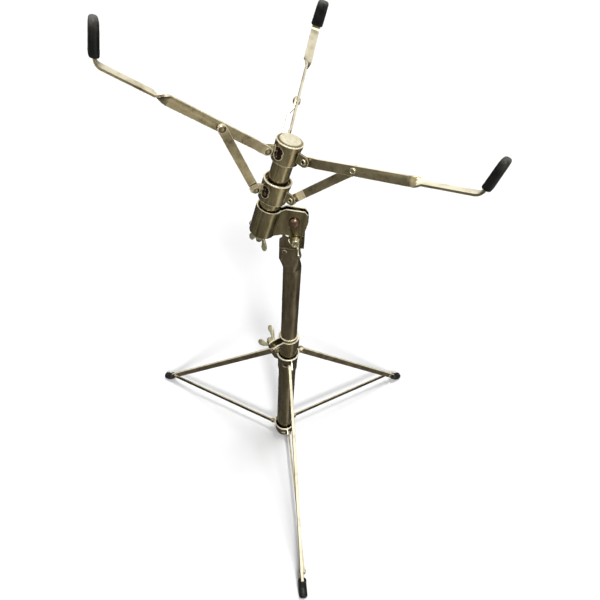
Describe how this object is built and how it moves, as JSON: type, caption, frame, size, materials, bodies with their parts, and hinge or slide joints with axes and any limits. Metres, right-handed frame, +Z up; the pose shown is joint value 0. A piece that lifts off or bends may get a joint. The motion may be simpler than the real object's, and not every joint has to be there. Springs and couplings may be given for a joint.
{
  "type": "drum stand",
  "caption": "Folding flat-base stand for a snare drum, with a height clamp, a tilter and a basket of hinged arms with rubber tips.",
  "frame": {"origin": "centre of the bounding box footprint, on the floor", "axes": "+X to the right as seen from the front leg's side, +Y away from the front leg, +Z up; the tilt hinge lies along Y"},
  "size_m": [0.4509, 0.4261, 0.6713],
  "materials": {
    "nickel": "worn yellowed nickel plate",
    "bright_nickel": "cast, nickel plated, bright",
    "brown_steel": "brown tarnished tube",
    "brown_rivet": "rusty brown domed head",
    "cream_plug": "pale disc closing the tube end",
    "rubber": "black rubber, soft sheen"
  },
  "bodies": {
    "base": {"lower_tube": "nickel", "bottom_collar": "nickel", "brace_rivets": "nickel", "height_clamp": "nickel", "clamp_bolt": "nickel"},
    "clamp_nut": {"clamp_wing_nut": "bright_nickel"},
    "collar": {"leg_collar": "nickel", "collar_rivets": "nickel"},
    "brace_link_front": {"brace_front": "nickel", "foot_rivet_front": "nickel"},
    "leg_link_front": {"leg_front": "nickel", "boot_front": "rubber", "leg_rivet_front": "nickel"},
    "brace_link_right": {"brace_right": "nickel", "foot_rivet_right": "nickel"},
    "leg_link_right": {"leg_right": "nickel", "boot_right": "rubber", "leg_rivet_right": "nickel"},
    "brace_link_left": {"brace_left": "nickel", "foot_rivet_left": "nickel"},
    "leg_link_left": {"leg_left": "nickel", "boot_left": "rubber", "leg_rivet_left": "nickel"},
    "post": {"upper_tube": "brown_steel", "tilter_tongue": "brown_steel", "tongue_rivet": "brown_steel", "pivot_bolt": "brown_rivet"},
    "tilter": {"tilter_sleeve": "nickel", "tilt_strap": "nickel", "tilt_bolt": "nickel", "sleeve_screw": "nickel"},
    "tilt_nut": {"tilt_wing_nut": "bright_nickel"},
    "swivel_nut": {"swivel_wing_nut": "bright_nickel"},
    "basket": {"basket_tube": "nickel", "basket_stud": "nickel", "basket_plug": "cream_plug", "hub_stop_ring": "nickel", "upper_hub": "nickel", "arm_rivets": "nickel"},
    "slider": {"lower_hub": "nickel", "strut_rivets": "nickel"},
    "arm_link_left": {"arm_left": "nickel", "tip_left": "rubber"},
    "strut_link_left": {"strut_left": "nickel", "strut_pin_left": "nickel"},
    "arm_link_right": {"arm_right": "nickel", "tip_right": "rubber"},
    "strut_link_right": {"strut_right": "nickel", "strut_pin_right": "nickel"},
    "arm_link_rear": {"arm_rear": "nickel", "tip_rear": "rubber"},
    "strut_link_rear": {"strut_rear": "nickel", "strut_pin_rear": "nickel"}
  },
  "joints": [
    {"name": "collar_slide", "type": "slide", "parent": "base", "child": "collar", "axis": [0, 0, 1], "range_m": [-0.116, 0]},
    {"name": "brace_fold_front", "type": "hinge", "parent": "base", "child": "brace_link_front", "pos_m": [0.0202, 0.0151, 0.0237], "axis": [0.9816, 0.1908, 0], "range_deg": [0, 82.23]},
    {"name": "leg_fold_front", "type": "hinge", "parent": "brace_link_front", "child": "leg_link_front", "pos_m": [0.05365, -0.1853, 0.0234], "axis": [0.9816, 0.1908, 0], "range_deg": [-40.81, 0]},
    {"name": "brace_fold_right", "type": "hinge", "parent": "base", "child": "brace_link_right", "pos_m": [0.02511, 0.04872, 0.0237], "axis": [-0.5299, 0.848, 0], "range_deg": [0, 82.23]},
    {"name": "leg_fold_right", "type": "hinge", "parent": "brace_link_right", "child": "leg_link_right", "pos_m": [0.20022, 0.15177, 0.0234], "axis": [-0.5299, 0.848, 0], "range_deg": [-40.81, 0]},
    {"name": "brace_fold_left", "type": "hinge", "parent": "base", "child": "brace_link_left", "pos_m": [-0.00945, 0.03533, 0.0237], "axis": [-0.342, -0.9397, 0], "range_deg": [0, 82.23]},
    {"name": "leg_fold_left", "type": "hinge", "parent": "brace_link_left", "child": "leg_link_left", "pos_m": [-0.19845, 0.10987, 0.0234], "axis": [-0.342, -0.9397, 0], "range_deg": [-40.81, 0]},
    {"name": "height_slide", "type": "slide", "parent": "base", "child": "post", "axis": [0, 0, 1], "range_m": [-0.11, 0.06]},
    {"name": "clamp_nut_spin", "type": "hinge", "parent": "base", "child": "clamp_nut", "pos_m": [-0.01289, 0.02718, 0.2499], "axis": [-0.6428, 0.766, 0], "continuous": true},
    {"name": "tilt", "type": "hinge", "parent": "post", "child": "tilter", "pos_m": [0.0111, 0.0336, 0.4554], "axis": [0, 1, 0], "range_deg": [-14, 24]},
    {"name": "tilt_nut_spin", "type": "hinge", "parent": "tilter", "child": "tilt_nut", "pos_m": [0.0136, 0.0236, 0.4325], "axis": [0, -1, 0], "continuous": true},
    {"name": "basket_swivel", "type": "hinge", "parent": "tilter", "child": "basket", "pos_m": [-0.01893, 0.0336, 0.46311], "axis": [0.2487, 0, 0.9686], "continuous": true},
    {"name": "swivel_nut_spin", "type": "hinge", "parent": "basket", "child": "swivel_nut", "pos_m": [-0.02738, 0.0336, 0.43018], "axis": [-0.2487, 0, -0.9686], "continuous": true},
    {"name": "hub_slide", "type": "slide", "parent": "basket", "child": "slider", "axis": [0.2487, 0, 0.9686], "range_m": [0, 0.01678]},
    {"name": "arm_fold_left", "type": "hinge", "parent": "basket", "child": "arm_link_left", "pos_m": [-0.01742, 0.02193, 0.54315], "axis": [-0.4246, 0.8988, 0.109], "range_deg": [0, 59.52]},
    {"name": "strut_fold_left", "type": "hinge", "parent": "slider", "child": "strut_link_left", "pos_m": [-0.02937, 0.02162, 0.49914], "axis": [-0.4246, 0.8988, 0.109], "range_deg": [0, 31.76]},
    {"name": "arm_fold_right", "type": "hinge", "parent": "basket", "child": "arm_link_right", "pos_m": [0.01917, 0.02346, 0.53375], "axis": [-0.5416, -0.829, 0.1391], "range_deg": [0, 59.52]},
    {"name": "strut_fold_right", "type": "hinge", "parent": "slider", "child": "strut_link_right", "pos_m": [0.00839, 0.02306, 0.48944], "axis": [-0.5416, -0.829, 0.1391], "range_deg": [0, 31.76]},
    {"name": "arm_fold_rear", "type": "hinge", "parent": "basket", "child": "arm_link_rear", "pos_m": [-0.00169, 0.05532, 0.53911], "axis": [0.9685, -0.0087, -0.2487], "range_deg": [0, 59.52]},
    {"name": "strut_fold_rear", "type": "hinge", "parent": "slider", "child": "strut_link_rear", "pos_m": [-0.01303, 0.05602, 0.49494], "axis": [0.9685, -0.0087, -0.2487], "range_deg": [0, 31.76]}
  ],
  "couplings": [
    {"joint": "brace_fold_front", "follows": "collar_slide", "rad_per_m": -12.369},
    {"joint": "leg_fold_front", "follows": "collar_slide", "rad_per_m": 6.137},
    {"joint": "brace_fold_right", "follows": "collar_slide", "rad_per_m": -12.369},
    {"joint": "leg_fold_right", "follows": "collar_slide", "rad_per_m": 6.137},
    {"joint": "brace_fold_left", "follows": "collar_slide", "rad_per_m": -12.369},
    {"joint": "leg_fold_left", "follows": "collar_slide", "rad_per_m": 6.137},
    {"joint": "arm_fold_left", "follows": "hub_slide", "rad_per_m": 61.887},
    {"joint": "strut_fold_left", "follows": "hub_slide", "rad_per_m": 33.015},
    {"joint": "arm_fold_right", "follows": "hub_slide", "rad_per_m": 61.887},
    {"joint": "strut_fold_right", "follows": "hub_slide", "rad_per_m": 33.015},
    {"joint": "arm_fold_rear", "follows": "hub_slide", "rad_per_m": 61.887},
    {"joint": "strut_fold_rear", "follows": "hub_slide", "rad_per_m": 33.015}
  ]
}
